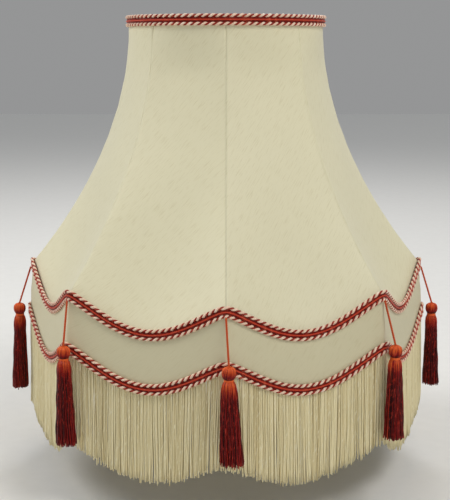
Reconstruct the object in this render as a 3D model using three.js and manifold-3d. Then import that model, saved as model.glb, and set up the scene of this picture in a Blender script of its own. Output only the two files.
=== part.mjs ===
import * as THREE from 'three';
import { mergeVertices } from 'three/addons/utils/BufferGeometryUtils.js';
import Module from 'manifold-3d';

const wasm = await Module();
wasm.setup();

// A bell-shaped fabric lamp shade. Sizes are in millimetres, +Z is up, and the origin is the
// centre of the fitter ring's underside. Radii are measured at the ribs, to the fabric's outer face.
const panelCount = 8;
const facets = 6;
const gap = 0.3;

const fitterDepth = 30;
const topRadius = 108;
const middleRadius = 111;
const kneeRadius = 226;
const hemRadius = 231;
const tipRadius = 235;
const topLip = 5.5;
const bellHeight = 274;
const collarHeight = 54;
const fringeLength = 101;
const upperSag = 33;
const lowerSag = 34;
const scallopPower = 1.15;
const roundToFlat = 60;
const scallopReach = 140;

const fabricThickness = 1;
const liningThickness = 0.6;
const fringeThickness = 3;
const braidWidth = 12.6;
const braidThickness = 4.2;

const ringWire = 3.4;
const ribWire = 3.4;
const scallopWire = 3;
const armWire = 3.4;

const armCount = 4;
const hoopInner = 26;
const hoopThickness = 2;
const hoopHeight = 10;
const washerOuter = 23.5;
const washerBore = 14.75;
const washerThickness = 2;
const earThickness = 2;
const earFace = 23.3;
const earWidth = 9;
const pivotHeight = 5;
const rivetShank = 1.5;
const rivetHead = 2.6;
const rivetHeadThickness = 1.5;
const runningClearance = 0.05;

const stringDiameter = 2.4;
const stringLength = 44;
const headRadius = 6.6;
const headHeight = 15;
const headClearance = 1.8;
const crownRadius = 4.1;
const neckRadius = 4.6;
const skirtLength = 88;
const skirtTopRadius = 5.6;
const skirtBottomRadius = 12;
const skirtFlatness = 0.8;
const skirtLean = 3.5;

// Each hand-tied tassel rests a little to one side of its rib, counter-clockwise seen from above,
// and its skirt is trimmed shorter than the longest by an amount of its own.
const restingSides = [2.7, 0, 1, -2, 3, -1, 0, 7.5];
const skirtTrims = [5, 5, 4, 2, 0, 3, 1, 0];

// Heights that follow from the sizes above.
const topHeight = fitterDepth + topLip;
const kneeHeight = fitterDepth - bellHeight;
const hemHeight = kneeHeight - collarHeight;
const tipHeight = hemHeight - fringeLength;

const panelAngle = (2 * Math.PI) / panelCount;
const cornerFactor = Math.cos(panelAngle / 2);

// How far along the bell the upper braid's top edge lies.
const braidStart = 1 - braidWidth / 2 / bellHeight;

// Distances inward from the fabric's outer face to each layer behind it.
const ribDepth = fabricThickness + (gap + ribWire / 2) / cornerFactor;
const wireDepth = ribDepth + ribWire / 2 + 4 * gap + scallopWire / 2;
const liningDepth = wireDepth + scallopWire / 2 + (3 * gap) / cornerFactor;

// Where each layer leaves the bell and joins the collar as it turns the knee, as shares of the two.
const kneeTurn = {
  braid: { leave: 0.995, join: 0.01 },
  rib: { leave: 0.97, join: 0.1 },
  lining: { leave: 0.98, join: 0.04 },
};
const ribEnd = 0.96;

function ribAngle(index) {
  return -Math.PI / 2 + index * panelAngle;
}

function smooth(value) {
  const t = THREE.MathUtils.clamp(value, 0, 1);
  return t * t * (3 - 2 * t);
}

function bellCurve() {
  const middle = (fitterDepth + kneeHeight) / 2;
  return new THREE.QuadraticBezierCurve(
    new THREE.Vector2(topRadius, fitterDepth),
    new THREE.Vector2(middleRadius, middle),
    new THREE.Vector2(kneeRadius, kneeHeight),
  );
}

function collarCurve() {
  return new THREE.LineCurve(
    new THREE.Vector2(kneeRadius, kneeHeight),
    new THREE.Vector2(hemRadius, hemHeight),
  );
}

function fringeCurve() {
  return new THREE.LineCurve(
    new THREE.Vector2(hemRadius, hemHeight),
    new THREE.Vector2(tipRadius, tipHeight),
  );
}

// Points along part of a curve, moved inward at the same height to lie a given depth behind it.
function layer(curve, depth, from, to, steps) {
  const points = [];
  for (let i = 0; i <= steps; i += 1) {
    const t = from + ((to - from) * i) / Math.max(steps, 1);
    const point = curve.getPoint(t);
    const steepness = Math.abs(curve.getTangent(t).y);
    points.push(new THREE.Vector2(point.x - depth / steepness, point.y));
  }
  return points;
}

// A closed profile between an outer and an inner row of points.
function closedProfile(outer, inner) {
  const loop = [...outer].reverse().concat(inner);
  loop.push(loop[0].clone());
  return loop;
}

// Where an angle falls across its panel, from -half to +half of the panel's angle.
function acrossPanel(angle) {
  const turned = THREE.MathUtils.euclideanModulo(angle + Math.PI / 2, panelAngle);
  return turned - panelAngle / 2;
}

function scallop(across) {
  const share = 0.5 + Math.tan(across) / (2 * Math.tan(panelAngle / 2));
  return Math.max(0, Math.sin(Math.PI * share)) ** scallopPower;
}

function sagAt(height) {
  if (height > kneeHeight) {
    return upperSag * smooth((kneeHeight + scallopReach - height) / scallopReach);
  }
  const share = THREE.MathUtils.clamp((kneeHeight - height) / collarHeight, 0, 1);
  return upperSag + (lowerSag - upperSag) * share;
}

// Turns a profile round the axis, flattens it into panels and hangs the scallops on it.
function band(profile) {
  const geometry = new THREE.LatheGeometry(profile, panelCount * facets);
  geometry.rotateX(Math.PI / 2);
  const position = geometry.attributes.position;
  for (let i = 0; i < position.count; i += 1) {
    const x = position.getX(i);
    const y = position.getY(i);
    const z = position.getZ(i);
    const across = acrossPanel(Math.atan2(y, x));
    const flatness = smooth((fitterDepth - z) / roundToFlat);
    const scale = THREE.MathUtils.lerp(1, cornerFactor / Math.cos(across), flatness);
    position.setXYZ(i, x * scale, y * scale, z - sagAt(z) * scallop(across));
  }
  return geometry;
}

function solidOf(geometry) {
  const bare = geometry.clone();
  bare.deleteAttribute('normal');
  bare.deleteAttribute('uv');
  const merged = mergeVertices(bare, 1e-4);
  const vertProperties = Float32Array.from(merged.attributes.position.array);
  const triVerts = Uint32Array.from(merged.index.array);
  return new wasm.Manifold(new wasm.Mesh({ numProp: 3, vertProperties, triVerts }));
}

function geometryOf(solid) {
  const mesh = solid.getMesh();
  const geometry = new THREE.BufferGeometry();
  geometry.setAttribute('position', new THREE.BufferAttribute(mesh.vertProperties, 3));
  geometry.setIndex(new THREE.BufferAttribute(mesh.triVerts, 1));
  geometry.computeVertexNormals();
  return geometry;
}

// A round wire along a path.
function wire(path, diameter, steps, sides) {
  const section = new THREE.Shape();
  section.absarc(0, 0, diameter / 2, 0, 2 * Math.PI, false);
  return new THREE.ExtrudeGeometry(section, {
    steps,
    curveSegments: sides / 2,
    bevelEnabled: false,
    extrudePath: path,
  });
}

// Points of a radial plane, turned to stand at an angle round the axis.
function radialPath(points, angle) {
  const placed = points.map((point) => {
    return new THREE.Vector3(point.x * Math.cos(angle), point.x * Math.sin(angle), point.y);
  });
  return new THREE.CatmullRomCurve3(placed, false, 'centripetal');
}

// The space between two neighbouring ribs, short of each by half a gap.
function panelWedge(index) {
  const middle = ribAngle(index) + panelAngle / 2;
  const reach = 2 * tipRadius;
  const start = gap / 2 / Math.sin(panelAngle / 2);
  const corner = new THREE.Vector2(start * Math.cos(middle), start * Math.sin(middle));
  const shape = new THREE.Shape();
  shape.moveTo(corner.x, corner.y);
  for (const side of [-1, 1]) {
    const angle = middle + (side * panelAngle) / 2;
    shape.lineTo(corner.x + reach * Math.cos(angle), corner.y + reach * Math.sin(angle));
  }
  shape.closePath();
  const depth = topHeight - tipHeight + 2 * topLip;
  const geometry = new THREE.ExtrudeGeometry(shape, { depth, bevelEnabled: false });
  geometry.translate(0, 0, tipHeight - topLip);
  return geometry;
}

function bellBand() {
  const curve = bellCurve();
  const rows = [0, fabricThickness].map((depth) => {
    const lip = new THREE.Vector2(topRadius - depth, topHeight);
    const bell = layer(curve, depth, 0, braidStart, 8);
    return [lip, ...bell, ...layer(curve, depth, 1, 1, 0)];
  });
  return band(closedProfile(rows[0], rows[1]));
}

function panelGeometry(index, bell) {
  return geometryOf(bell.intersect(solidOf(panelWedge(index))));
}

function collarGeometry() {
  const curve = collarCurve();
  const from = gap / collarHeight;
  const outer = layer(curve, 0, from, 1, 2);
  const inner = layer(curve, fabricThickness, from, 1, 2);
  return band(closedProfile(outer, inner));
}

function fringeGeometry() {
  const curve = fringeCurve();
  const from = gap / fringeLength;
  const outer = layer(curve, 0, from, 1, 1);
  const inner = layer(curve, fringeThickness, from, 1, 1);
  return band(closedProfile(outer, inner));
}

function liningGeometry() {
  const rows = [liningDepth, liningDepth + liningThickness].map((depth) => {
    const bell = layer(bellCurve(), depth, ringWire / bellHeight, kneeTurn.lining.leave, 6);
    return bell.concat(layer(collarCurve(), depth, kneeTurn.lining.join, 1, 1));
  });
  return band(closedProfile(rows[0], rows[1]));
}

function topBraidGeometry() {
  const inner = topRadius + 2 * gap;
  const outer = inner + braidThickness;
  const high = fitterDepth + braidWidth / 2;
  const low = fitterDepth - braidWidth / 2;
  const profile = [
    new THREE.Vector2(inner, low),
    new THREE.Vector2(outer, low),
    new THREE.Vector2(outer, high),
    new THREE.Vector2(inner, high),
    new THREE.Vector2(inner, low),
  ];
  const geometry = new THREE.LatheGeometry(profile, 48);
  return geometry.rotateX(Math.PI / 2);
}

function upperBraidGeometry() {
  const below = braidWidth / 2 / collarHeight;
  const rows = [-2 * gap, -2 * gap - braidThickness].map((depth) => {
    const bell = layer(bellCurve(), depth, braidStart, kneeTurn.braid.leave, 1);
    return bell.concat(layer(collarCurve(), depth, kneeTurn.braid.join, below, 1));
  });
  return band(closedProfile(rows[1], rows[0]));
}

function lowerBraidGeometry() {
  const half = braidWidth / 2 / collarHeight;
  const outer = layer(collarCurve(), -2 * gap - braidThickness, 1 - half, 1 + half, 1);
  const inner = layer(collarCurve(), -2 * gap, 1 - half, 1 + half, 1);
  return band(closedProfile(outer, inner));
}

function topRingGeometry() {
  const chord = Math.cos(panelAngle / facets / 2);
  const radius = (topRadius - fabricThickness) * chord - 2 * gap - ringWire / 2;
  const geometry = new THREE.TorusGeometry(radius, ringWire / 2, 6, 40);
  return geometry.translate(0, 0, fitterDepth);
}

function ribGeometry(index) {
  const start = (ringWire / 2 + 2 * gap) / bellHeight;
  const bell = layer(bellCurve(), ribDepth, start, kneeTurn.rib.leave, 16);
  const collar = layer(collarCurve(), ribDepth, kneeTurn.rib.join, ribEnd, 9);
  return wire(radialPath(bell.concat(collar), ribAngle(index)), ribWire, 22, 6);
}

// A scalloped wire behind the fabric, at a height measured at the ribs.
function scallopWireGeometry(radius, height) {
  const profile = [];
  for (let i = 0; i <= 6; i += 1) {
    const angle = (-2 * Math.PI * i) / 6;
    const x = radius - wireDepth + (scallopWire / 2) * Math.cos(angle);
    profile.push(new THREE.Vector2(x, height - (scallopWire / 2) * Math.sin(angle)));
  }
  return band(profile);
}

// A bent arm from the top ring in and down to the carrier hoop.
function spiderArmGeometry(index) {
  const outer = topRadius - fabricThickness - 4 * gap - ringWire;
  const inner = hoopInner + hoopThickness + gap;
  const bend = (outer + inner) / 2;
  const points = [
    new THREE.Vector2(outer, fitterDepth),
    new THREE.Vector2(bend + (outer - bend) / 2, fitterDepth),
    new THREE.Vector2(bend - (bend - inner) / 2, hoopHeight / 2),
    new THREE.Vector2(inner, hoopHeight / 2),
  ];
  const angle = ribAngle(0) + panelAngle + (index * 2 * Math.PI) / armCount;
  return wire(radialPath(points, angle), armWire, 10, 6);
}

// A cylinder along X through both pivots.
function pivotBore(radius) {
  const geometry = new THREE.CylinderGeometry(radius, radius, 4 * hoopInner, 24);
  geometry.rotateZ(-Math.PI / 2);
  return geometry.translate(0, 0, pivotHeight);
}

function carrierHoopGeometry() {
  const outer = hoopInner + hoopThickness;
  const profile = [
    new THREE.Vector2(hoopInner, 0),
    new THREE.Vector2(outer, 0),
    new THREE.Vector2(outer, hoopHeight),
    new THREE.Vector2(hoopInner, hoopHeight),
    new THREE.Vector2(hoopInner, 0),
  ];
  const hoop = new THREE.LatheGeometry(profile, 40);
  hoop.rotateX(Math.PI / 2);
  return geometryOf(solidOf(hoop).subtract(solidOf(pivotBore(rivetShank + gap))));
}

// An upright ear of the fitter ring on one side of the axis.
function earGeometry(side) {
  const shape = new THREE.Shape();
  shape.moveTo(-earWidth / 2, washerThickness / 2);
  shape.lineTo(earWidth / 2, washerThickness / 2);
  shape.lineTo(earWidth / 2, pivotHeight);
  shape.absarc(0, pivotHeight, earWidth / 2, 0, Math.PI, false);
  shape.closePath();
  const depth = earThickness;
  const geometry = new THREE.ExtrudeGeometry(shape, { depth, bevelEnabled: false, curveSegments: 8 });
  const upright = new THREE.Matrix4().makeBasis(
    new THREE.Vector3(0, 1, 0),
    new THREE.Vector3(0, 0, 1),
    new THREE.Vector3(1, 0, 0),
  );
  geometry.applyMatrix4(upright);
  geometry.translate(earFace - earThickness, 0, 0);
  return side < 0 ? geometry.rotateZ(Math.PI) : geometry;
}

function fitterRingGeometry() {
  const shape = new THREE.Shape();
  shape.absarc(0, 0, washerOuter, 0, 2 * Math.PI, false);
  const bore = new THREE.Path();
  bore.absarc(0, 0, washerBore, 0, 2 * Math.PI, true);
  shape.holes.push(bore);
  const depth = washerThickness;
  const washer = new THREE.ExtrudeGeometry(shape, { depth, bevelEnabled: false, curveSegments: 20 });
  let solid = solidOf(washer);
  solid = solid.add(solidOf(earGeometry(1)));
  solid = solid.add(solidOf(earGeometry(-1)));
  return geometryOf(solid.subtract(solidOf(pivotBore(rivetShank + runningClearance))));
}

// A rivet along X through the hoop and one ear.
function rivetGeometry(side) {
  const innerHead = earFace - earThickness - gap;
  const outerHead = hoopInner + hoopThickness + gap;
  const profile = [
    new THREE.Vector2(0, innerHead - rivetHeadThickness),
    new THREE.Vector2(rivetHead, innerHead - rivetHeadThickness),
    new THREE.Vector2(rivetHead, innerHead),
    new THREE.Vector2(rivetShank, innerHead),
    new THREE.Vector2(rivetShank, outerHead),
    new THREE.Vector2(rivetHead, outerHead),
    new THREE.Vector2(rivetHead, outerHead + rivetHeadThickness),
    new THREE.Vector2(0, outerHead + rivetHeadThickness),
  ];
  const geometry = new THREE.LatheGeometry(profile, 24);
  geometry.rotateZ(-Math.PI / 2);
  geometry.translate(0, 0, pivotHeight);
  return side < 0 ? geometry.rotateZ(Math.PI) : geometry;
}

// The point where a tassel's string leaves the upper braid, in its rib's plane.
function stringTop() {
  const height = kneeHeight - braidWidth / 2 - gap - 0.75 * stringDiameter;
  return new THREE.Vector2(kneeRadius + braidThickness, height);
}

// The point where the string enters the head, which rests against the lower braid: outward,
// sideways and up, in a frame turned to the tassel's rib.
function headTop(index) {
  const side = restingSides[index];
  const corner = hemRadius + braidThickness + headClearance + headRadius;
  const radius = corner - Math.abs(side) * Math.tan(panelAngle / 2);
  const start = stringTop();
  const run = Math.hypot(radius - start.x, side);
  const fall = Math.sqrt(stringLength ** 2 - run ** 2);
  return new THREE.Vector3(radius, side, start.y - fall);
}

function tasselCordGeometry(index) {
  const point = stringTop();
  const start = new THREE.Vector3(point.x, 0, point.y);
  const end = headTop(index);
  end.z += gap;
  const path = new THREE.LineCurve3(start, end);
  return wire(path, stringDiameter, 9, 8).rotateZ(ribAngle(index));
}

function tasselHeadGeometry(index) {
  const top = headTop(index);
  const low = top.z - headHeight;
  const shoulder = headHeight / 6;
  const profile = [
    new THREE.Vector2(0, top.z),
    new THREE.Vector2(crownRadius, top.z - shoulder / 2),
    new THREE.Vector2(headRadius, top.z - shoulder * 2),
    new THREE.Vector2(headRadius, top.z - shoulder * 3),
    new THREE.Vector2(neckRadius, top.z - shoulder * 5),
    new THREE.Vector2(neckRadius, low),
    new THREE.Vector2(0, low),
  ];
  const geometry = new THREE.LatheGeometry(profile.reverse(), 10);
  geometry.rotateX(Math.PI / 2);
  geometry.translate(top.x, top.y, 0);
  return geometry.rotateZ(ribAngle(index));
}

function tasselSkirtGeometry(index) {
  const top = headTop(index);
  const high = top.z - headHeight - gap;
  const length = skirtLength - skirtTrims[index];
  const profile = [
    new THREE.Vector2(0, -length),
    new THREE.Vector2(skirtBottomRadius, -length),
    new THREE.Vector2((skirtTopRadius + skirtBottomRadius) / 2, -length / 2),
    new THREE.Vector2(skirtTopRadius, 0),
    new THREE.Vector2(0, 0),
  ];
  const geometry = new THREE.LatheGeometry(profile, 10);
  geometry.rotateX(Math.PI / 2);
  geometry.scale(skirtFlatness, 1, 1);
  const position = geometry.attributes.position;
  for (let i = 0; i < position.count; i += 1) {
    const lean = (-position.getZ(i) / length) * skirtLean;
    position.setX(i, position.getX(i) + lean);
  }
  geometry.translate(top.x, top.y, high);
  return geometry.rotateZ(ribAngle(index));
}

function addPiece(group, name, geometry, color, roughness, metalness = 0) {
  const material = new THREE.MeshStandardMaterial({ color, roughness, metalness });
  const mesh = new THREE.Mesh(geometry, material);
  mesh.name = name;
  group.add(mesh);
}

function addCover(group) {
  const bell = solidOf(bellBand());
  for (let i = 0; i < panelCount; i += 1) {
    addPiece(group, `panel_${i + 1}`, panelGeometry(i, bell), 0xd9d2b4, 0.7);
  }
  addPiece(group, 'collar', collarGeometry(), 0xd9d2b4, 0.7);
  addPiece(group, 'lining', liningGeometry(), 0xe6e2d2, 0.7);
  addPiece(group, 'fringe', fringeGeometry(), 0xdccb98, 0.8);
  addPiece(group, 'top_braid', topBraidGeometry(), 0xa83428, 0.7);
  addPiece(group, 'upper_braid', upperBraidGeometry(), 0xa83428, 0.7);
  addPiece(group, 'lower_braid', lowerBraidGeometry(), 0xa83428, 0.7);
}

function addFrame(group) {
  addPiece(group, 'top_ring', topRingGeometry(), 0xe8e6de, 0.5);
  for (let i = 0; i < panelCount; i += 1) {
    addPiece(group, `rib_${i + 1}`, ribGeometry(i), 0xe8e6de, 0.5);
  }
  const upper = scallopWireGeometry(kneeRadius, kneeHeight - 2 * scallopWire);
  addPiece(group, 'upper_scallop_wire', upper, 0xe8e6de, 0.5);
  const lower = scallopWireGeometry(hemRadius, hemHeight + scallopWire);
  addPiece(group, 'lower_scallop_wire', lower, 0xe8e6de, 0.5);
  for (let i = 0; i < armCount; i += 1) {
    addPiece(group, `spider_arm_${i + 1}`, spiderArmGeometry(i), 0xe8e6de, 0.5);
  }
  addPiece(group, 'carrier_hoop', carrierHoopGeometry(), 0xe8e6de, 0.5);
}

function addFitter(group) {
  addPiece(group, 'fitter_ring', fitterRingGeometry(), 0xb08d4a, 0.4, 1);
  addPiece(group, 'pivot_rivet_1', rivetGeometry(1), 0xb08d4a, 0.4, 1);
  addPiece(group, 'pivot_rivet_2', rivetGeometry(-1), 0xb08d4a, 0.4, 1);
}

function addTassels(group) {
  for (let i = 0; i < panelCount; i += 1) {
    addPiece(group, `tassel_cord_${i + 1}`, tasselCordGeometry(i), 0x9c2f1e, 0.7);
    addPiece(group, `tassel_head_${i + 1}`, tasselHeadGeometry(i), 0x9c3a1e, 0.7);
    addPiece(group, `tassel_skirt_${i + 1}`, tasselSkirtGeometry(i), 0x8c2f1c, 0.8);
  }
}

const shade = new THREE.Group();
shade.name = 'lamp_shade';
addFitter(shade);
addFrame(shade);
addCover(shade);
addTassels(shade);

export default shade;
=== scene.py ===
import math

import bpy
import numpy as np
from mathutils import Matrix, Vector


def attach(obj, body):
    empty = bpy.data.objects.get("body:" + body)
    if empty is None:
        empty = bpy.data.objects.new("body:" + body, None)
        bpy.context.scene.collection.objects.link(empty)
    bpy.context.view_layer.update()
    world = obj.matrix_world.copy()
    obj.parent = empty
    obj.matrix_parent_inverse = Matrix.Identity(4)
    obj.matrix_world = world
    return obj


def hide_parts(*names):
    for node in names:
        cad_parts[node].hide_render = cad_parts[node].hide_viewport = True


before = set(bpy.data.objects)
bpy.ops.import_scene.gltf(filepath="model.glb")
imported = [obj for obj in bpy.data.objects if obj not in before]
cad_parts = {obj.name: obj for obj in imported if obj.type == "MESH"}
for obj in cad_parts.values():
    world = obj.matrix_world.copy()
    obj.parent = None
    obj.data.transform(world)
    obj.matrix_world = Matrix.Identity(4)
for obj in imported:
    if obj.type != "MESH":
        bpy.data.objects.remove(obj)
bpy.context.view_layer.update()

# Sizes in metres. Heights are +Z from the fitter ring's underside, and radii are taken at the ribs.
PANELS = 8
PANEL_ANGLE = 2 * math.pi / PANELS
RING_HEIGHT = 0.030
TOP_LIP = 0.0055
BELL_HEIGHT = 0.274
COLLAR_HEIGHT = 0.054
FRINGE_LENGTH = 0.101
KNEE_HEIGHT = RING_HEIGHT - BELL_HEIGHT
HEM_HEIGHT = KNEE_HEIGHT - COLLAR_HEIGHT
TIP_HEIGHT = HEM_HEIGHT - FRINGE_LENGTH
TOP_RADIUS = 0.108
MIDDLE_RADIUS = 0.111
KNEE_RADIUS = 0.226
HEM_RADIUS = 0.231
TIP_RADIUS = 0.235
UPPER_SAG = 0.033
LOWER_SAG = 0.034
SCALLOP_POWER = 1.15
SCALLOP_REACH = 0.140
ROUND_TO_FLAT = 0.060

CREAM_PLY = 0.00126
RED_PLY = 0.00096
PLY_OFFSET = 0.00076
ROPE_FLATNESS = 0.95
ROPE_PITCH = 0.0074
ROPE_SPACING = 0.0042
CENTRE_CORD = 0.00085
SIDE_CORD = 0.00080
BRAID_STANDOFF = 0.0018
PEAK_ROUNDING = 0.0036
SIDE_SPACING = 0.0016
TAPE_HALF_WIDTH = 0.0044
BRAID_POINTS = 4000

FABRIC_THICKNESS = 0.0008
LINING_THICKNESS = 0.0006
LINING_DEPTH = 0.0104
PANEL_BOW = 0.0035
COLLAR_BOW = 0.0012
COLLAR_COLUMNS = 44
LINING_COLUMNS = 24

# How far apart two neighbouring strands lie on the cloth map, so that no two look alike.
STRAND_SHIFT = 0.047

STRING_DIAMETER = 0.0024
HEAD_RADIUS = 0.0066
HEAD_HEIGHT = 0.015
HEAD_CLEARANCE = 0.0018
STRING_LENGTH = 0.044
BRAID_THICKNESS = 0.0042
SKIRT_LENGTH = 0.088
SKIRT_FLATNESS = 0.8
SKIRT_LEAN = 0.0022

# How far each tassel rests to one side of its rib, how much shorter its skirt is trimmed, and
# how far its skirt swings to that side on the way down.
RESTING_SIDES = np.array([2.7, 0, 1, -2, 3, -1, 0, 7.5]) / 1000
SKIRT_TRIMS = np.array([5, 5, 4, 2, 0, 3, 1, 0]) / 1000
SKIRT_SWINGS = np.array([3, -1, 1, -2, 2, 0, 1, 3]) / 1000


# ---------------------------------------------------------------- the shade's shape


def smooth_step(value):
    t = np.clip(value, 0.0, 1.0)
    return t * t * (3.0 - 2.0 * t)


def across_panel(angle):
    """The angle from the middle of the panel that an angle round the shade falls in."""
    return np.mod(angle + math.pi / 2, PANEL_ANGLE) - PANEL_ANGLE / 2


def scallop(across):
    share = 0.5 + np.tan(across) / (2.0 * math.tan(PANEL_ANGLE / 2))
    return np.maximum(0.0, np.sin(math.pi * share)) ** SCALLOP_POWER


def sag_at(height):
    bell = UPPER_SAG * smooth_step((KNEE_HEIGHT + SCALLOP_REACH - height) / SCALLOP_REACH)
    share = np.clip((KNEE_HEIGHT - height) / COLLAR_HEIGHT, 0.0, 1.0)
    collar = UPPER_SAG + (LOWER_SAG - UPPER_SAG) * share
    return np.where(height > KNEE_HEIGHT, bell, collar)


def rib_radius(height):
    """The fabric's radius at the ribs."""
    t = np.clip((RING_HEIGHT - height) / BELL_HEIGHT, 0.0, 1.0)
    bell = (1 - t) ** 2 * TOP_RADIUS + 2 * t * (1 - t) * MIDDLE_RADIUS + t**2 * KNEE_RADIUS
    rows = [TIP_HEIGHT, HEM_HEIGHT, KNEE_HEIGHT]
    below = np.interp(height, rows, [TIP_RADIUS, HEM_RADIUS, KNEE_RADIUS])
    return np.where(height > KNEE_HEIGHT, bell, below)


def flat_scale(across, height):
    flatness = smooth_step((RING_HEIGHT - height) / ROUND_TO_FLAT)
    return 1.0 + (math.cos(PANEL_ANGLE / 2) / np.cos(across) - 1.0) * flatness


def cover_point(angle, height, out=0.0):
    """Points on the cover, height being the height at the ribs before the scallops are let down."""
    angle, height = np.broadcast_arrays(angle, height)
    across = across_panel(angle)
    radius = (rib_radius(height) + out) * flat_scale(across, height)
    z = height - sag_at(height) * scallop(across)
    return np.stack([radius * np.cos(angle), radius * np.sin(angle), z], axis=-1)


def unit(vectors):
    return vectors / np.linalg.norm(vectors, axis=-1, keepdims=True)


def rib_angle(index):
    return -math.pi / 2 + index * PANEL_ANGLE


# ---------------------------------------------------------------- building meshes


def make_object(name, vertices, faces, uv, tone=None, slots=None, materials=()):
    """A mesh with a metre-true UV map named cloth and a tone at each point: partly random from strand to
    strand, partly painted highlight and painted shade on the tassels and braid cords.
    """
    mesh = bpy.data.meshes.new(name)
    mesh.from_pydata(np.asarray(vertices).tolist(), [], faces)
    layer = mesh.uv_layers.new(name="cloth")
    layer.data.foreach_set("uv", np.asarray(uv, dtype=np.float32).ravel())
    if tone is not None:
        attribute = mesh.attributes.new("tone", "FLOAT", "POINT")
        attribute.data.foreach_set("value", np.asarray(tone, dtype=np.float32).ravel())
    for material in materials:
        mesh.materials.append(material)
    if slots is not None:
        mesh.polygons.foreach_set("material_index", np.asarray(slots, dtype=np.int32))
    mesh.polygons.foreach_set("use_smooth", np.ones(len(mesh.polygons), dtype=bool))
    mesh.update()
    made = bpy.data.objects.new(name, mesh)
    bpy.context.scene.collection.objects.link(made)
    return made


class Parts:
    """Gathers several grids of faces into one mesh."""

    def __init__(self):
        self.vertices, self.faces, self.uv = [], [], []
        self.tone, self.slots = [], []
        self.count = 0

    def add(self, vertices, faces, uv, tone, slot):
        self.vertices.append(vertices)
        self.faces.extend([[i + self.count for i in face] for face in faces])
        self.uv.append(uv)
        self.tone.append(tone)
        self.slots.extend([slot] * len(faces))
        self.count += len(vertices)

    def build(self, name, materials):
        return make_object(
            name,
            np.concatenate(self.vertices),
            self.faces,
            np.concatenate(self.uv),
            np.concatenate(self.tone),
            self.slots,
            materials,
        )


def tubes(centres, first, second, radius, sides, closed, tone):
    """Round tubes along rows of points. first and second are the two axes across each tube."""
    count, steps = centres.shape[:2]
    turn = np.linspace(0.0, 2 * math.pi, sides, endpoint=False)
    ring = np.cos(turn)[:, None] * first[:, :, None, :] + np.sin(turn)[:, None] * second[:, :, None, :]
    radius = np.broadcast_to(radius, (count, steps))
    vertices = centres[:, :, None, :] + radius[:, :, None, None] * ring
    index = np.arange(count * steps * sides).reshape(count, steps, sides)
    here = index if closed else index[:, :-1]
    ahead = np.roll(index, -1, axis=1) if closed else index[:, 1:]
    quads = np.stack([here, np.roll(here, -1, axis=2), np.roll(ahead, -1, axis=2), ahead], axis=-1)
    faces = quads.reshape(-1, 4).tolist()
    gaps = np.linalg.norm(np.diff(centres, axis=1, append=centres[:, :1]), axis=-1)
    along = np.concatenate([np.zeros((count, 1)), np.cumsum(gaps, axis=1)], axis=1)
    spans = here.shape[1]
    low = np.broadcast_to(along[:, :spans, None], here.shape)
    high = np.broadcast_to(along[:, 1 : spans + 1, None], here.shape)
    width = 2 * math.pi * float(radius.mean()) / sides
    left = np.arange(sides) * width + STRAND_SHIFT * np.arange(count)[:, None, None]
    left = np.broadcast_to(left, here.shape)
    corners = [(left, low), (left + width, low), (left + width, high), (left, high)]
    uv = np.stack([np.stack(corner, axis=-1) for corner in corners], axis=-2).reshape(-1, 2)
    if not closed:
        faces += index[:, 0, ::-1].tolist() + index[:, -1, :].tolist()
        uv = np.concatenate([uv, np.zeros((2 * count * sides, 2))])
    shades = np.broadcast_to(np.reshape(tone, (np.shape(tone)[0], -1)), (count, steps))
    return vertices.reshape(-1, 3), faces, uv, np.repeat(shades.ravel(), sides)


def strand_axes(centres, side):
    """Two axes across each strand, the first as near as it can be to a given sideways direction."""
    tangent = unit(np.gradient(centres, axis=1))
    first = unit(side - (side * tangent).sum(-1, keepdims=True) * tangent)
    return first, np.cross(tangent, first)


def shell(outer, inner, uv_grid):
    """A closed sheet between an outer and an inner grid of points, rows running down."""
    rows, columns = outer.shape[:2]
    count = rows * columns
    grid = np.arange(count).reshape(rows, columns)
    front = np.stack([grid[:-1, :-1], grid[1:, :-1], grid[1:, 1:], grid[:-1, 1:]], axis=-1).reshape(-1, 4)
    back = front[:, ::-1] + count
    rim = np.concatenate([grid[:, 0], grid[-1, 1:], grid[-2::-1, -1], grid[0, -2:0:-1]])
    ahead = np.roll(rim, -1)
    edge = np.stack([rim, rim + count, ahead + count, ahead], axis=-1)
    faces = np.concatenate([front, back, edge])
    flat = np.concatenate([uv_grid.reshape(-1, 2)] * 2)
    vertices = np.concatenate([outer.reshape(-1, 3), inner.reshape(-1, 3)])
    return vertices, faces.tolist(), flat[faces].reshape(-1, 2), np.zeros(2 * count)


def ring_shell(outer, inner, uv_grid):
    """A closed band: as shell, but the last column joins the first."""
    rows, columns = outer.shape[:2]
    count = rows * columns
    grid = np.arange(count).reshape(rows, columns)
    nxt = np.roll(grid, -1, axis=1)
    front = np.stack([grid[:-1], grid[1:], nxt[1:], nxt[:-1]], axis=-1).reshape(-1, 4)
    back = front[:, ::-1] + count
    top = np.stack([grid[0], nxt[0], nxt[0] + count, grid[0] + count], axis=-1)
    base = np.stack([grid[-1], grid[-1] + count, nxt[-1] + count, nxt[-1]], axis=-1)
    faces = np.concatenate([front, back, top, base])
    flat = np.concatenate([uv_grid.reshape(-1, 2)] * 2)
    uv = flat[faces]
    wide = uv[:, :, 0].max(axis=1) - uv[:, :, 0].min(axis=1) > 0.5
    turn = uv_grid[:, :, 0].max()
    uv[wide, :, 0] = np.where(uv[wide, :, 0] < 0.5 * turn, uv[wide, :, 0] + turn, uv[wide, :, 0])
    vertices = np.concatenate([outer.reshape(-1, 3), inner.reshape(-1, 3)])
    return vertices, faces.tolist(), uv.reshape(-1, 2), np.zeros(2 * count)


# ---------------------------------------------------------------- materials


def add_node(tree, kind, inputs=None, **settings):
    made = tree.nodes.new(kind)
    for name, value in settings.items():
        setattr(made, name, value)
    for name, value in (inputs or {}).items():
        if isinstance(value, bpy.types.NodeSocket):
            tree.links.new(value, made.inputs[name])
        else:
            made.inputs[name].default_value = value
    return made


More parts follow.
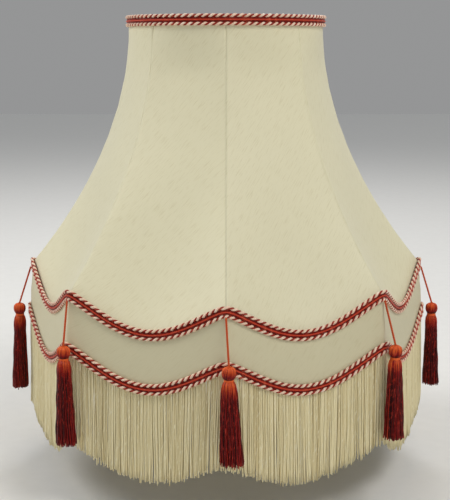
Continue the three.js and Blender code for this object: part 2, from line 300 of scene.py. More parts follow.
def new_material(name, colour, roughness):
    material = bpy.data.materials.new(name)
    material.use_nodes = True
    shader = material.node_tree.nodes["Principled BSDF"]
    shader.inputs["Base Color"].default_value = (*colour, 1.0)
    shader.inputs["Roughness"].default_value = roughness
    return material, material.node_tree, shader


def linear(red, green, blue):
    """A colour from 0 to 255 as it is seen, in the linear values that a shader takes."""
    return tuple(
        c / 12.92 if c <= 0.04045 else ((c + 0.055) / 1.055) ** 2.4
        for c in (red / 255, green / 255, blue / 255)
    )


def cloth_coordinates(tree, scale, turn=0.0):
    source = add_node(tree, "ShaderNodeUVMap", uv_map="cloth")
    turned = add_node(tree, "ShaderNodeMapping", {"Vector": source.outputs["UV"]})
    turned.inputs["Rotation"].default_value = (0.0, 0.0, turn)
    scaled = add_node(tree, "ShaderNodeMapping", {"Vector": turned.outputs["Vector"], "Scale": scale})
    return scaled.outputs["Vector"]


def mix_colour(tree, factor, low, high):
    made = add_node(tree, "ShaderNodeMix", data_type="RGBA")
    tree.links.new(factor, made.inputs[0])
    for socket, colour in ((made.inputs[6], low), (made.inputs[7], high)):
        if isinstance(colour, bpy.types.NodeSocket):
            tree.links.new(colour, socket)
        else:
            socket.default_value = (*colour, 1.0)
    return made.outputs[2]


def tone_ramp(tree, factor, shades):
    """Evenly spaced colours, from the one for the lowest tone to the one for the highest."""
    ramp = add_node(tree, "ShaderNodeValToRGB", {"Fac": factor})
    stops = ramp.color_ramp.elements
    for _ in range(len(shades) - len(stops)):
        stops.new(0.5)
    for number, (stop, shade) in enumerate(zip(stops, shades)):
        stop.position = number / (len(shades) - 1)
        stop.color = (*shade, 1.0)
    return ramp.outputs["Color"]


def add_bump(tree, shader, height, strength, distance):
    bump = add_node(tree, "ShaderNodeBump", {"Height": height, "Strength": strength, "Distance": distance})
    tree.links.new(bump.outputs["Normal"], shader.inputs["Normal"])


def woven(name, colour, slub_colour, roughness, sheen, turn, slub_share):
    """A plain weave with uneven, slubbed yarns, cut at an angle."""
    material, tree, shader = new_material(name, colour, roughness)
    shader.inputs["Sheen Weight"].default_value = sheen
    shader.inputs["Sheen Roughness"].default_value = 0.4
    slub_at = cloth_coordinates(tree, (1000.0, 75.0, 1.0), turn)
    slub = add_node(tree, "ShaderNodeTexNoise", {"Vector": slub_at, "Scale": 1.0, "Detail": 3.0})
    ramp = add_node(tree, "ShaderNodeValToRGB", {"Fac": slub.outputs["Fac"]})
    ramp.color_ramp.elements[0].position = 0.52
    ramp.color_ramp.elements[1].position = 0.72
    patch_at = cloth_coordinates(tree, (14.0, 14.0, 1.0))
    patch = add_node(tree, "ShaderNodeTexNoise", {"Vector": patch_at, "Scale": 1.0, "Detail": 2.0})
    tinted = mix_colour(tree, patch.outputs["Fac"], colour, tuple(c * 0.95 for c in colour))
    share = add_node(tree, "ShaderNodeMath", {0: ramp.outputs["Color"], 1: slub_share}, operation="MULTIPLY")
    tree.links.new(mix_colour(tree, share.outputs[0], tinted, slub_colour), shader.inputs["Base Color"])
    warp = add_node(
        tree,
        "ShaderNodeTexWave",
        {"Vector": cloth_coordinates(tree, (1.0, 1.0, 1.0), turn), "Scale": 520.0, "Distortion": 1.5},
        bands_direction="X",
    )
    weft = add_node(
        tree,
        "ShaderNodeTexWave",
        {"Vector": cloth_coordinates(tree, (1.0, 1.0, 1.0), turn), "Scale": 420.0, "Distortion": 1.5},
        bands_direction="Y",
    )
    crossing = {0: warp.outputs["Fac"], 1: weft.outputs["Fac"]}
    weave = add_node(tree, "ShaderNodeMath", crossing, operation="MULTIPLY")
    layers = {0: weave.outputs[0], 1: ramp.outputs["Color"]}
    height = add_node(tree, "ShaderNodeMath", layers, operation="ADD")
    add_bump(tree, shader, height.outputs[0], 0.35, 0.00012)
    return material


def yarn(name, shades, pale, roughness, sheen, twist):
    """A silky twisted yarn, its fibres wound round it, darker or paler by its strand's tone."""
    material, tree, shader = new_material(name, shades[-1], roughness)
    shader.inputs["Sheen Weight"].default_value = sheen
    shader.inputs["Sheen Roughness"].default_value = 0.35
    shader.inputs["Sheen Tint"].default_value = (*pale, 1.0)
    shader.inputs["Specular IOR Level"].default_value = 0.22
    tone = add_node(tree, "ShaderNodeAttribute", attribute_name="tone")
    base = tone_ramp(tree, tone.outputs["Fac"], shades)
    fleck_at = cloth_coordinates(tree, (500.0, 90.0, 1.0), twist)
    fleck = add_node(tree, "ShaderNodeTexNoise", {"Vector": fleck_at, "Scale": 1.0, "Detail": 2.0})
    ramp = add_node(tree, "ShaderNodeValToRGB", {"Fac": fleck.outputs["Fac"]})
    ramp.color_ramp.elements[0].position = 0.56
    ramp.color_ramp.elements[1].position = 0.74
    tree.links.new(mix_colour(tree, ramp.outputs["Color"], base, pale), shader.inputs["Base Color"])
    fibres = add_node(
        tree,
        "ShaderNodeTexWave",
        {"Vector": cloth_coordinates(tree, (1.0, 1.0, 1.0), twist), "Scale": 900.0, "Distortion": 2.0},
        bands_direction="X",
    )
    add_bump(tree, shader, fibres.outputs["Fac"], 0.5, 0.00018)
    return material


def painted(name, colour, roughness):
    material, tree, shader = new_material(name, colour, roughness)
    shader.inputs["Coat Weight"].default_value = 0.15
    place = add_node(tree, "ShaderNodeTexCoord")
    grain = add_node(
        tree, "ShaderNodeTexNoise", {"Vector": place.outputs["Object"], "Scale": 420.0, "Detail": 3.0}
    )
    wear = tuple(c * 0.86 for c in colour)
    tree.links.new(mix_colour(tree, grain.outputs["Fac"], colour, wear), shader.inputs["Base Color"])
    add_bump(tree, shader, grain.outputs["Fac"], 0.25, 0.0001)
    return material


def brass(name):
    material, tree, shader = new_material(name, linear(190, 150, 84), 0.32)
    shader.inputs["Metallic"].default_value = 1.0
    place = add_node(tree, "ShaderNodeTexCoord")
    grain = add_node(
        tree, "ShaderNodeTexNoise", {"Vector": place.outputs["Object"], "Scale": 260.0, "Detail": 4.0}
    )
    tinted = mix_colour(tree, grain.outputs["Fac"], linear(198, 158, 90), linear(160, 122, 66))
    tree.links.new(tinted, shader.inputs["Base Color"])
    add_bump(tree, shader, grain.outputs["Fac"], 0.15, 0.00008)
    return material


# ---------------------------------------------------------------- cover, collar and lining


def spaced_edges(count, edge_share):
    """Positions from 0 to 1, set closer together near both ends."""
    even = np.linspace(0.0, 1.0, count)
    return even - edge_share * np.sin(2 * math.pi * even) / (2 * math.pi)


def bow(share, height):
    """How far the stretched fabric stands out between two ribs."""
    down = np.clip((RING_HEIGHT - height) / BELL_HEIGHT, 0.0, 1.0)
    return PANEL_BOW * np.sin(math.pi * share) * np.sin(math.pi * down)


def seam_tuck(share, width):
    """The fabric turns in at the seam along each rib."""
    distance = np.minimum(share, 1.0 - share) * width
    return -0.0006 * np.exp(-((distance / 0.0009) ** 2))


def puckers(share, height, width, seed):
    """Small pulls in the cloth along its seams."""
    rng = np.random.default_rng(seed)
    total = np.zeros(np.broadcast(share, height).shape)
    for side in (share, 1.0 - share):
        reach = np.exp(-side * width / 0.010)
        for _ in range(5):
            pitch = rng.uniform(0.012, 0.045)
            lean = rng.uniform(-0.6, 0.6)
            phase = rng.uniform(0.0, 2 * math.pi)
            total += reach * np.sin(2 * math.pi * (height + lean * side * width) / pitch + phase)
    return 0.00007 * total


def panel_grid(index, heights, shares, depth, seed):
    """Points of one panel at a depth behind its outer face, with the cloth's own position of each."""
    margin = 0.00012 / KNEE_RADIUS
    angle = rib_angle(index) + margin + shares[None, :] * (PANEL_ANGLE - 2 * margin)
    height = heights[:, None]
    width = 2 * rib_radius(height) * math.sin(PANEL_ANGLE / 2)
    out = bow(shares[None, :], height) + seam_tuck(shares[None, :], width)
    out = out + puckers(shares[None, :], height, width, seed)
    points = cover_point(angle, height, out - depth)
    return points, width * (shares[None, :] - 0.5)


def make_panel(index, material):
    lip_rows = np.linspace(RING_HEIGHT + TOP_LIP, RING_HEIGHT, 4)[:-1]
    heights = np.concatenate([lip_rows, np.linspace(RING_HEIGHT, KNEE_HEIGHT, 90)])
    shares = spaced_edges(45, 0.85)
    outer, across = panel_grid(index, heights, shares, 0.0, 20 + index)
    inner, _ = panel_grid(index, heights, shares, FABRIC_THICKNESS, 20 + index)
    step = np.linalg.norm(np.diff(outer, axis=0, prepend=outer[:1]), axis=-1)
    uv = np.stack([across, -np.cumsum(step, axis=0) + 0.37 * index], axis=-1)
    parts = Parts()
    parts.add(*shell(outer, inner, uv), 0)
    panel = parts.build(f"panel_{index + 1}_fabric", [material])
    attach(panel, "shade")
    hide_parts(f"panel_{index + 1}")
    return panel


def band_angles(steps_per_panel):
    shares = spaced_edges(steps_per_panel + 1, 0.85)[:-1]
    angles = np.concatenate([rib_angle(i) + shares * PANEL_ANGLE for i in range(PANELS)])
    return angles, np.tile(shares, PANELS)


def make_collar(material):
    angles, shares = band_angles(COLLAR_COLUMNS)
    heights = np.linspace(KNEE_HEIGHT - 0.0003, HEM_HEIGHT, 26)[:, None]
    width = 2 * rib_radius(heights) * math.sin(PANEL_ANGLE / 2)
    down = (KNEE_HEIGHT - heights) / COLLAR_HEIGHT
    out = COLLAR_BOW * np.sin(math.pi * shares)[None, :] * np.sin(math.pi * down)
    out = out + 0.5 * seam_tuck(shares[None, :], width)
    out = out + 2.2 * puckers(shares[None, :], heights, width, 61)
    outer = cover_point(angles[None, :], heights, out)
    inner = cover_point(angles[None, :], heights, out - FABRIC_THICKNESS)
    around = (np.repeat(np.arange(PANELS), COLLAR_COLUMNS) + shares)[None, :] * width
    uv = np.stack([np.broadcast_to(around, outer.shape[:2]), outer[:, :, 2]], axis=-1)
    parts = Parts()
    parts.add(*ring_shell(outer, inner, uv), 0)
    collar = parts.build("collar_fabric", [material])
    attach(collar, "shade")
    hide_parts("collar")
    return collar


def make_lining(material):
    angles, shares = band_angles(LINING_COLUMNS)
    bell_rows = np.linspace(RING_HEIGHT - 0.0036, KNEE_HEIGHT + 0.012, 46)
    collar_rows = np.linspace(KNEE_HEIGHT - 0.004, HEM_HEIGHT, 10)
    heights = np.concatenate([bell_rows, collar_rows])[:, None]
    down = (RING_HEIGHT - heights) / BELL_HEIGHT
    depth = LINING_DEPTH * np.where(heights > KNEE_HEIGHT, 1.0 + 0.42 * down**2, 1.0)
    width = 2 * rib_radius(heights) * math.sin(PANEL_ANGLE / 2)
    slack = 1.6 * puckers(shares[None, :], heights, width, 83)
    outer = cover_point(angles[None, :], heights, slack - depth)
    inner = cover_point(angles[None, :], heights, slack - depth - LINING_THICKNESS)
    around = (np.repeat(np.arange(PANELS), LINING_COLUMNS) + shares)[None, :] * width
    uv = np.stack([np.broadcast_to(around, outer.shape[:2]), outer[:, :, 2]], axis=-1)
    parts = Parts()
    parts.add(*ring_shell(outer, inner, uv), 0)
    lining = parts.build("lining_fabric", [material])
    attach(lining, "shade")
    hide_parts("lining")
    return lining


# ---------------------------------------------------------------- braids


def smooth_loop(values, spacing, reach):
    """A closed row of values, evened out over a short reach."""
    span = int(4 * reach / spacing)
    weights = np.exp(-0.5 * (np.arange(-span, span + 1) * spacing / reach) ** 2)
    weights /= weights.sum()
    padded = np.concatenate([values[-span:], values, values[:span]])
    columns = [np.convolve(column, weights, mode="valid") for column in padded.T]
    return np.stack(columns, axis=1)


def braid_line(height):
    """The line a braid follows round the shade, evenly spaced, and the outward direction along it."""
    angles = np.linspace(0.0, 2 * math.pi, BRAID_POINTS, endpoint=False) - math.pi / 2
    if height >= RING_HEIGHT:
        circle = (TOP_RADIUS * np.cos(angles), TOP_RADIUS * np.sin(angles), 0 * angles + height)
        points = np.stack(circle, axis=-1)
    else:
        points = cover_point(angles, np.full_like(angles, height))
    face = angles - across_panel(angles) if height < RING_HEIGHT else angles
    outward = np.stack([np.cos(face), np.sin(face), 0 * face], axis=-1)
    closed = np.concatenate([points, points[:1]])
    length = np.concatenate([[0.0], np.cumsum(np.linalg.norm(np.diff(closed, axis=0), axis=1))])
    at = np.linspace(0.0, length[-1], BRAID_POINTS, endpoint=False)
    points = np.stack([np.interp(at, length, closed[:, k]) for k in range(3)], axis=1)
    outward = np.concatenate([outward, outward[:1]])
    outward = np.stack([np.interp(at, length, outward[:, k]) for k in range(3)], axis=1)
    spacing = length[-1] / BRAID_POINTS
    points = smooth_loop(points, spacing, PEAK_ROUNDING)
    outward = smooth_loop(outward, spacing, PEAK_ROUNDING)
    return points, outward


def resample_loop(values, count):
    closed = np.concatenate([values, values[:1]])
    at = np.linspace(0.0, len(values), count, endpoint=False)
    return np.stack([np.interp(at, np.arange(len(closed)), column) for column in closed.T], axis=1)


def loop_frame(points, outward):
    tangent = unit(np.roll(points, -1, axis=0) - np.roll(points, 1, axis=0))
    normal = unit(outward - (outward * tangent).sum(-1, keepdims=True) * tangent)
    return normal, np.cross(normal, tangent)


def add_rope(parts, points, outward, lift, rng):
    """A rope of two plies, one cream and one red, wound round each other."""
    normal, up = loop_frame(points, outward)
    length = np.linalg.norm(np.roll(points, -1, axis=0) - points, axis=1).sum()
    turns = round(length / ROPE_PITCH)
    count = turns * 9
    centre = resample_loop(points + normal * BRAID_STANDOFF + up * lift, count)
    normal, up = resample_loop(normal, count), resample_loop(up, count)
    wobble = smooth_loop(rng.normal(0.0, 1.0, (count, 1)), 1.0, 12.0)[:, 0] * 1.6
    phase = 2 * math.pi * turns * np.arange(count) / count + wobble
    for slot, ply_radius in ((0, CREAM_PLY), (1, RED_PLY)):
        turn = (phase + math.pi * slot)[:, None]
        radial = ROPE_FLATNESS * np.cos(turn) * normal + np.sin(turn) * up
        ply = centre + PLY_OFFSET * radial
        tangent = unit(np.roll(ply, -1, axis=0) - np.roll(ply, 1, axis=0))
        first = unit(radial - (radial * tangent).sum(-1, keepdims=True) * tangent)
        second = np.cross(tangent, first)
        thickness = ply_radius * (1.0 + 0.05 * smooth_loop(rng.normal(0.0, 1.0, (count, 1)), 1.0, 3.0)[:, 0])
        tone = np.array([0.7 - 0.35 * slot])
        parts.add(*tubes(ply[None], first[None], second[None], thickness[None], 7, True, tone), slot)


def add_cord(parts, points, outward, lift, standoff, radius, tone):
    """A plain red cord laid along the braid."""
    normal, up = loop_frame(points, outward)
    count = len(points) // 3
    centre = resample_loop(points + normal * standoff + up * lift, count)
    normal, up = resample_loop(normal, count), resample_loop(up, count)
    thick = np.full((1, count), radius)
    parts.add(*tubes(centre[None], normal[None], -up[None], thick, 8, True, np.array([tone])), 1)


def add_backing(parts, points, outward):
    """The narrow red tape that the cords are stitched to."""
    normal, up = loop_frame(points, outward)
    count = len(points) // 5
    points, normal, up = (resample_loop(v, count) for v in (points, normal, up))
    front, back = 0.0008, 0.0002
    edge = TAPE_HALF_WIDTH
    corners = [(edge, front), (-edge, front), (-edge, back), (edge, back)]
    vertices = np.stack([points + up * a + normal * b for a, b in corners], axis=1)
    index = np.arange(count * 4).reshape(count, 4)
    ahead = np.roll(index, -1, axis=0)
    quads = np.stack([index, np.roll(index, -1, axis=1), np.roll(ahead, -1, axis=1), ahead], axis=-1)
    quads = quads.reshape(-1, 4)
    uv = np.zeros((len(quads) * 4, 2))
    # Tone 0 gives the deepest red. This is partly the tape's own colour and partly painted shade in the gaps
    # between the cords.
    parts.add(vertices.reshape(-1, 3), quads.tolist(), uv, np.zeros(count * 4), 1)


def make_braid(name, node, height, seed, materials):
    rng = np.random.default_rng(seed)
    points, outward = braid_line(height)
    parts = Parts()
    add_rope(parts, points, outward, ROPE_SPACING, rng)
    add_rope(parts, points, outward, -ROPE_SPACING, rng)
    # The centre cord takes a pale tone of the red, which is partly a painted highlight along it. The side
    # cords take a deep tone, which is partly painted shade between the cords.
    add_cord(parts, points, outward, 0.0, BRAID_STANDOFF + 0.0005, CENTRE_CORD, 0.9)
    for side in (-1, 1):
        add_cord(parts, points, outward, side * SIDE_SPACING, BRAID_STANDOFF - 0.0003, SIDE_CORD, 0.12)
    add_backing(parts, points, outward)
    braid = parts.build(name, materials)
    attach(braid, "shade")
    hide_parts(node)
    return braid


# ---------------------------------------------------------------- fringe


def fringe_strands(count, depth, seed):
    """Centre lines of one row of hanging strands, with each strand's outward direction."""
    rng = np.random.default_rng(seed)
    share = (np.arange(count) + 0.5 + rng.uniform(-0.28, 0.28, count)) / count
    panel = np.floor(share * PANELS)
    place = share * PANELS - panel
    across = np.arctan((2 * place - 1) * math.tan(PANEL_ANGLE / 2))
    angle = -math.pi / 2 + (panel + 0.5) * PANEL_ANGLE + across
    face = angle - across
    steps = 13
    down = np.linspace(0.0, 1.0, steps)
    uneven = smooth_loop(rng.normal(0.0, 1.0, (count, 2)), 1.0, 9.0)
    length = FRINGE_LENGTH + 0.005 - 0.007 * scallop(across) + 0.006 * uneven[:, 0]
    length = length + 0.009 * np.cos(angle) ** 6 + rng.normal(0.0, 0.0016, count)
    top = HEM_HEIGHT + 0.002 - LOWER_SAG * scallop(across)
    hem = cover_point(angle, np.full(count, HEM_HEIGHT), -depth)
    outward = np.stack([np.cos(face), np.sin(face), 0 * face], axis=-1)
    sideways = np.stack([-np.sin(face), np.cos(face), 0 * face], axis=-1)
    clump = smooth_loop(rng.normal(0.0, 1.0, (count, 2)), 1.0, 2.2)
    lean = 0.0026 * clump[:, 0] + 0.006 * uneven[:, 1] + rng.normal(0.0, 0.0005, count)
    flare = (TIP_RADIUS - HEM_RADIUS) * 0.95 + 0.0012 * clump[:, 1]
    wave = rng.normal(0.0, 0.00035, (count, 2))
    phase = rng.uniform(0.0, 2 * math.pi, (count, 2))
    bend = np.sin(2.6 * math.pi * down[None, :, None] + phase[:, None, :])
    bend = bend * wave[:, None, :] * down[None, :, None]
    side = lean[:, None] * down[None, :] ** 1.4 + bend[:, :, 0]
    out = flare[:, None] * down[None, :] + bend[:, :, 1]
    drop = top[:, None] - length[:, None] * down[None, :]
    centres = hem[:, None, :] + side[:, :, None] * sideways[:, None, :]
    centres = centres + out[:, :, None] * outward[:, None, :]
    centres[:, :, 2] = drop
    return centres, np.broadcast_to(sideways[:, None, :], centres.shape), rng


def make_fringe(name, count, depth, seed, material):
    centres, sideways, rng = fringe_strands(count, depth, seed)
    first, second = strand_axes(centres, sideways)
    steps = centres.shape[1]
    thick = 0.00088 * (1.0 + rng.normal(0.0, 0.07, (count, 1))) * np.ones((1, steps))
    thick[:, -1] *= rng.uniform(0.4, 1.0, count)
    tone = np.clip(rng.normal(0.70, 0.28, count), 0.0, 1.0)
    parts = Parts()
    parts.add(*tubes(centres, first, second, thick, 6, False, tone), 0)
    fringe = parts.build(name, [material])
    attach(fringe, "shade")
    return fringe


# ---------------------------------------------------------------- tassels


def radial_axes(index):
    angle = rib_angle(index)
    outward = np.array([math.cos(angle), math.sin(angle), 0.0])
    sideways = np.array([-math.sin(angle), math.cos(angle), 0.0])
    return outward, sideways, np.array([0.0, 0.0, 1.0])


def string_points(index):
    """The string's line from under the upper braid to the head, and the head's top point."""
    outward, sideways, up = radial_axes(index)
    side = RESTING_SIDES[index]
    radius = HEM_RADIUS + BRAID_THICKNESS + HEAD_CLEARANCE + HEAD_RADIUS
    radius -= abs(side) * math.tan(PANEL_ANGLE / 2)
    run = math.hypot(radius - KNEE_RADIUS - BRAID_THICKNESS, side)
    height = KNEE_HEIGHT - 0.0084 - math.sqrt(STRING_LENGTH**2 - run**2)
    head_top = radius * outward + side * sideways + height * up
    start = (KNEE_RADIUS + 0.0026) * outward + (KNEE_HEIGHT - 0.0064) * up
    t = np.linspace(0.0, 1.0, 25)[:, None]
    return start + (head_top - start) * t, head_top


def place_local(index, base, local):
    """Points given as sideways, outward and up from a base point beside the rib."""
    outward, sideways, up = radial_axes(index)
    return base + local[..., :1] * sideways + local[..., 1:2] * outward + local[..., 2:] * up


def make_string(index, material):
    points, _ = string_points(index)
    rows = np.linspace(0, 24, 120)
    dense = np.stack([np.interp(rows, np.arange(25), column) for column in points.T], axis=1)
    _, sideways, _ = radial_axes(index)
    tangent = unit(np.gradient(dense, axis=0))
    across = unit(sideways - (tangent @ sideways)[:, None] * tangent)
    other = np.cross(tangent, across)
    parts = Parts()
    for ply in (0, 1):
        turn = (np.linspace(0.0, 2 * math.pi * 13, 120) + math.pi * ply)[:, None]
        radial = np.cos(turn) * across + np.sin(turn) * other
        centres = (dense + 0.22 * STRING_DIAMETER * radial)[None]
        first, second = strand_axes(centres, radial[None])
        parts.add(*tubes(centres, first, second, 0.28 * STRING_DIAMETER, 7, False, np.array([0.82])), 0)
    string = parts.build(f"tassel_{index + 1}_string", [material])
    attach(string, f"tassel_{index + 1}")
    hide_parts(f"tassel_cord_{index + 1}")
    return string


def head_outline(share):
    """The head's radius and height from its top pole to its neck, for a share of the way down."""
    rows = np.linspace(0.0, 1.0, 9)
    radii = np.array([0.0012, 0.0040, 0.0058, 0.0064, 0.0065, 0.0061, 0.0052, 0.0042, 0.0038])
    heights = -HEAD_HEIGHT * np.array([0.0, 0.045, 0.16, 0.31, 0.46, 0.60, 0.72, 0.82, 0.90])
    return np.interp(share, rows, radii), np.interp(share, rows, heights)


def add_head_core(parts, index, base):
    share = np.linspace(0.0, 1.0, 26)
    outline, level = head_outline(share)
    turn = np.linspace(0.0, 2 * math.pi, 20, endpoint=False)
    local = np.stack(
        [
            np.outer(outline - 0.0002, np.cos(turn)),
            np.outer(outline - 0.0002, np.sin(turn)),
            np.repeat(level[:, None], 20, axis=1),
        ],
        axis=-1,
    )
    vertices = place_local(index, base, local).reshape(-1, 3)
    grid = np.arange(len(vertices)).reshape(26, 20)
    nxt = np.roll(grid, -1, axis=1)
    faces = np.stack([grid[:-1], grid[1:], nxt[1:], nxt[:-1]], axis=-1).reshape(-1, 4)[:, ::-1].tolist()
    faces += [grid[0].tolist(), grid[-1, ::-1].tolist()]
    corners = sum(len(face) for face in faces)
    parts.add(vertices, faces, np.zeros((corners, 2)), np.full(len(vertices), 0.2), 0)


def add_head_threads(parts, index, base, rng):
    """Threads laid over the ball from its top to its neck, each a little slanted."""
    count = 40
    share = np.linspace(0.02, 1.0, 18)
    outline, level = head_outline(share)
    turn = 2 * math.pi * (np.arange(count) + rng.uniform(-0.15, 0.15, count)) / count
    slant = turn[:, None] + 0.35 * share[None, :]
    local = np.stack(
        [outline * np.cos(slant), outline * np.sin(slant), np.broadcast_to(level, slant.shape)], axis=-1
    )
    centres = place_local(index, base, local)
    flat = np.stack([-np.sin(slant), np.cos(slant), 0 * slant], axis=-1)
    side = place_local(index, 0.0, flat)
    first, second = strand_axes(centres, side)
    thick = np.interp(outline, [0.001, 0.0065], [0.00016, 0.00058])[None, :] * np.ones((count, 1))
    # Painted highlight on the threads at the top of the ball, fading to painted shade towards the neck, with
    # random tone from thread to thread.
    tone = np.clip(rng.normal(1.05, 0.14, count)[:, None] - 1.3 * share[None, :] ** 1.5, 0.0, 1.0)
    parts.add(*tubes(centres, first, second, thick, 5, False, tone), 0)


def add_binding(parts, index, base, rng):
    """The thread wound round the neck."""
    turns = 5
    count = turns * 22
    turn = np.linspace(0.0, 2 * math.pi * turns, count)
    level = np.linspace(-0.80, -0.98, count) * HEAD_HEIGHT
    reach = 0.0046 + 0.0002 * rng.normal(0.0, 1.0)
    local = np.stack([reach * np.cos(turn), reach * np.sin(turn), level], axis=-1)[None]
    centres = place_local(index, base, local)
    side = place_local(index, 0.0, np.stack([np.cos(turn), np.sin(turn), 0 * turn], axis=-1)[None])
    first, second = strand_axes(centres, side)
    parts.add(*tubes(centres, first, second, 0.00042, 6, False, np.array([0.95])), 0)


def add_collar_loop(parts, index, base):
    """The small loop where the string enters the head's top."""
    turn = np.linspace(0.0, 2 * math.pi, 16, endpoint=False)
    local = np.stack([0.0013 * np.cos(turn), 0.0013 * np.sin(turn), 0 * turn + 0.0002], axis=-1)[None]
    centres = place_local(index, base, local)
    out = place_local(index, 0.0, np.stack([np.cos(turn), np.sin(turn), 0 * turn], axis=-1)[None])
    up = np.broadcast_to(np.array([0.0, 0.0, -1.0]), out.shape)
    parts.add(*tubes(centres, out, up, 0.0006, 6, True, np.array([0.9])), 0)


def make_head(index, material):
    rng = np.random.default_rng(300 + index)
    _, base = string_points(index)
    parts = Parts()
    add_head_core(parts, index, base)
    add_head_threads(parts, index, base, rng)
    add_binding(parts, index, base, rng)
    add_collar_loop(parts, index, base)
    head = parts.build(f"tassel_{index + 1}_head", [material])
    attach(head, f"tassel_{index + 1}")
    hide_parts(f"tassel_head_{index + 1}")
    return head


def skirt_strands(index, rng):
    """Centre lines of the skirt's strands: sideways, outward and up from the head's top."""
    rings = [(76, 1.0), (60, 0.84), (42, 0.64), (22, 0.38)]
    count = sum(number for number, _ in rings)
    turn = np.concatenate([2 * math.pi * (np.arange(n) + rng.uniform(0, 1)) / n for n, _ in rings])
    turn += rng.normal(0.0, 0.04, count)
    share = np.concatenate([np.full(n, s) for n, s in rings])
    down = np.linspace(0.0, 1.0, 22)
    spread = 0.0044 + 0.0027 * (1.0 - np.exp(-down / 0.05)) + 0.0041 * down
    length = SKIRT_LENGTH - SKIRT_TRIMS[index] + rng.normal(0.0, 0.0011, count)
    reach = share[:, None] * spread[None, :]
    squeeze = 1.0 + (SKIRT_FLATNESS - 1.0) * smooth_step(down * 4.0)
    sway = rng.normal(0.0, 0.0006, (count, 2))
    phase = rng.uniform(0.0, 2 * math.pi, (count, 2))
    turns = rng.uniform(1.0, 3.2, (count, 1, 1))
    wave = np.sin(2 * math.pi * turns * down[None, :, None] + phase[:, None, :]) * 0.00042
    wave = wave * smooth_step(down * 6.0)[None, :, None]
    side = reach * np.cos(turn)[:, None] + sway[:, :1] * down + wave[:, :, 0]
    out = reach * np.sin(turn)[:, None] * squeeze + sway[:, 1:] * down * 0.5 + wave[:, :, 1] * 0.5
    side = side + SKIRT_SWINGS[index] * down**1.3
    out = out + SKIRT_LEAN * down
    drop = -HEAD_HEIGHT * 0.93 - length[:, None] * down[None, :]
    return np.stack([side, out, drop], axis=-1), down


def make_skirt(index, material):
    rng = np.random.default_rng(400 + index)
    _, base = string_points(index)
    local, down = skirt_strands(index, rng)
    count = len(local)
    centres = place_local(index, base, local)
    _, sideways, _ = radial_axes(index)
    first, second = strand_axes(centres, np.broadcast_to(sideways, centres.shape))
    thick = 0.00046 * (1.0 + rng.normal(0.0, 0.08, (count, 1))) * np.ones((1, len(down)))
    # Painted highlight along the skirt's top, where it flares out under the head, fading to painted shade
    # down the strands and a little lighter again at the tips; random tone from strand to strand is added on
    # top.
    lit = 0.12 + 0.62 * np.exp(-((down / 0.15) ** 2)) + 0.12 * down**4
    tone = np.clip(rng.normal(0.0, 0.17, (count, 1)) + lit[None, :], 0.0, 1.0)
    parts = Parts()
    parts.add(*tubes(centres, first, second, thick, 5, False, tone), 0)
    skirt = parts.build(f"tassel_{index + 1}_skirt", [material])
    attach(skirt, f"tassel_{index + 1}")
    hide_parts(f"tassel_skirt_{index + 1}")
    return skirt


# ---------------------------------------------------------------- the whole object


def dress_frame(white, metal):
    """Finishes for the wires and the fitter, which are shown as modelled."""
    wires = ["top_ring", "upper_scallop_wire", "lower_scallop_wire", "carrier_hoop"]
    wires += [f"rib_{i + 1}" for i in range(PANELS)]
    wires += [f"spider_arm_{i + 1}" for i in range(4)]
    for name in wires:
        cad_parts[name].data.materials.clear()
        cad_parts[name].data.materials.append(white)
    for name in ("fitter_ring", "pivot_rivet_1", "pivot_rivet_2"):
        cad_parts[name].data.materials.clear()
        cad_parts[name].data.materials.append(metal)


def build_object():
    bias = math.radians(38)
    creams = (linear(232, 225, 190), linear(207, 196, 152))
    cream = woven("cream slub silk", *creams, 0.55, 0.2, bias, 0.5)
    # A darker copy of the cover's cream silk: painted shade for the collar, which hangs below the bell.
    collar_shaded_creams = (linear(213, 205, 170), linear(196, 184, 142))
    shaded = woven("collar slub silk", *collar_shaded_creams, 0.6, 0.15, bias, 0.5)
    white_cloth = woven("lining cloth", linear(236, 231, 216), linear(220, 213, 194), 0.7, 0.2, 0.0, 0.25)
    peach = (linear(226, 168, 134), linear(252, 226, 200))
    cream_ply = yarn("cream ply", peach, linear(255, 242, 226), 0.42, 0.15, 0.5)
    reds = (linear(112, 18, 14), linear(206, 66, 40))
    red_ply = yarn("red ply", reds, linear(226, 110, 78), 0.38, 0.05, 0.5)
    ivories = (linear(216, 198, 146), linear(246, 234, 190))
    fringe_yarn = yarn("fringe yarn", ivories, linear(252, 244, 212), 0.5, 0.2, 0.3)
    # The tassels' rust-red yarn. Its deepest stop serves as painted shade low on the heads and skirts, and
    # its bright orange stop serves as painted highlight at their tops.
    rust_shade_to_highlight = (linear(54, 2, 3), linear(148, 18, 13), linear(240, 108, 48))
    rust = yarn("rust yarn", rust_shade_to_highlight, linear(212, 62, 44), 0.36, 0.0, 0.4)
    dress_frame(painted("white paint", linear(236, 234, 226), 0.4), brass("satin brass"))
    for index in range(PANELS):
        make_panel(index, cream)
    collar = make_collar(shaded)
    make_lining(white_cloth)
    plies = [cream_ply, red_ply]
    make_braid("top_braid_cords", "top_braid", RING_HEIGHT, 101, plies)
    upper = make_braid("upper_braid_cords", "upper_braid", KNEE_HEIGHT, 102, plies)
    lower = make_braid("lower_braid_cords", "lower_braid", HEM_HEIGHT, 103, plies)
    front = make_fringe("fringe_front_row", 840, 0.0009, 201, fringe_yarn)
    back = make_fringe("fringe_back_row", 820, 0.0023, 202, fringe_yarn)
    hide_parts("fringe")
    for index in range(PANELS):
        head = make_head(index, rust)
        make_string(index, rust)
        make_skirt(index, rust)


# ---------------------------------------------------------------- floor, light and camera


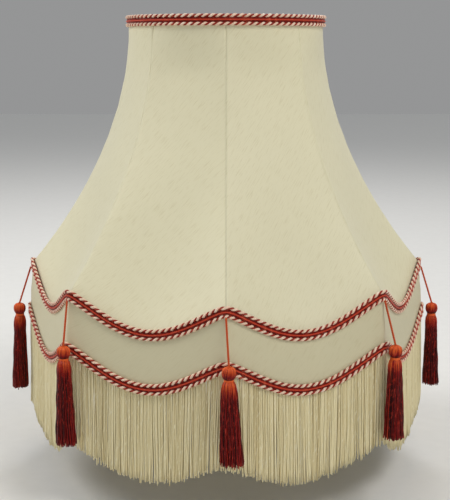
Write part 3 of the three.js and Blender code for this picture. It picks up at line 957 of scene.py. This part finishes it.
def build_floor():
    size, level = 6.0, TIP_HEIGHT - LOWER_SAG - 0.045
    mesh = bpy.data.meshes.new("floor")
    corners = [(-size, -size, level), (size, -size, level), (size, size, level), (-size, size, level)]
    mesh.from_pydata(corners, [], [(0, 1, 2, 3)])
    floor = bpy.data.objects.new("floor", mesh)
    bpy.context.scene.collection.objects.link(floor)
    material, tree, shader = new_material("floor paint", linear(232, 230, 225), 0.8)
    place = add_node(tree, "ShaderNodeTexCoord")
    grain = add_node(tree, "ShaderNodeTexNoise", {"Vector": place.outputs["Object"], "Scale": 60.0})
    tinted = mix_colour(tree, grain.outputs["Fac"], linear(234, 232, 227), linear(228, 226, 221))
    tree.links.new(tinted, shader.inputs["Base Color"])
    mesh.materials.append(material)


def add_softbox(name, place, target, size, power, colour):
    data = bpy.data.lights.new(name, "AREA")
    data.shape = "DISK"
    data.size = size
    data.energy = power
    data.color = colour
    lamp = bpy.data.objects.new(name, data)
    lamp.location = place
    lamp.rotation_euler = (Vector(target) - Vector(place)).to_track_quat("-Z", "Y").to_euler()
    bpy.context.scene.collection.objects.link(lamp)


def build_lights():
    world = bpy.data.worlds.new("studio")
    world.use_nodes = True
    tree = world.node_tree
    surround = tree.nodes["Background"]
    surround.inputs["Color"].default_value = (0.93, 0.96, 1.0, 1.0)
    surround.inputs["Strength"].default_value = 0.40
    backdrop = add_node(tree, "ShaderNodeBackground", {"Color": (0.30, 0.302, 0.304, 1.0)})
    rays = add_node(tree, "ShaderNodeLightPath")
    seen = add_node(tree, "ShaderNodeMixShader", {0: rays.outputs["Is Camera Ray"]})
    tree.links.new(surround.outputs[0], seen.inputs[1])
    tree.links.new(backdrop.outputs[0], seen.inputs[2])
    tree.links.new(seen.outputs[0], tree.nodes["World Output"].inputs["Surface"])
    bpy.context.scene.world = world
    middle = (0.0, 0.0, -0.2)
    add_softbox("key light", (1.15, -1.25, 1.85), middle, 1.1, 28.6, (1.0, 0.98, 0.96))
    add_softbox("fill light", (-1.95, 0.17, 1.4), middle, 1.3, 26.0, (0.98, 0.98, 0.98))
    add_softbox("back light", (0.3, 1.7, 1.7), middle, 1.2, 16.0, (1.0, 1.0, 1.0))


def build_camera():
    data = bpy.data.cameras.new("camera")
    data.sensor_width = 36.0
    data.lens = 73.5
    camera = bpy.data.objects.new("camera", data)
    camera.location = (-0.001, -1.1686, 0.0065)
    camera.rotation_euler = (math.radians(90.0 - 11.46), 0.0, 0.0)
    bpy.context.scene.collection.objects.link(camera)
    bpy.context.scene.camera = camera
    bpy.context.scene.view_settings.view_transform = "Standard"


build_object()
build_floor()
build_lights()
build_camera()
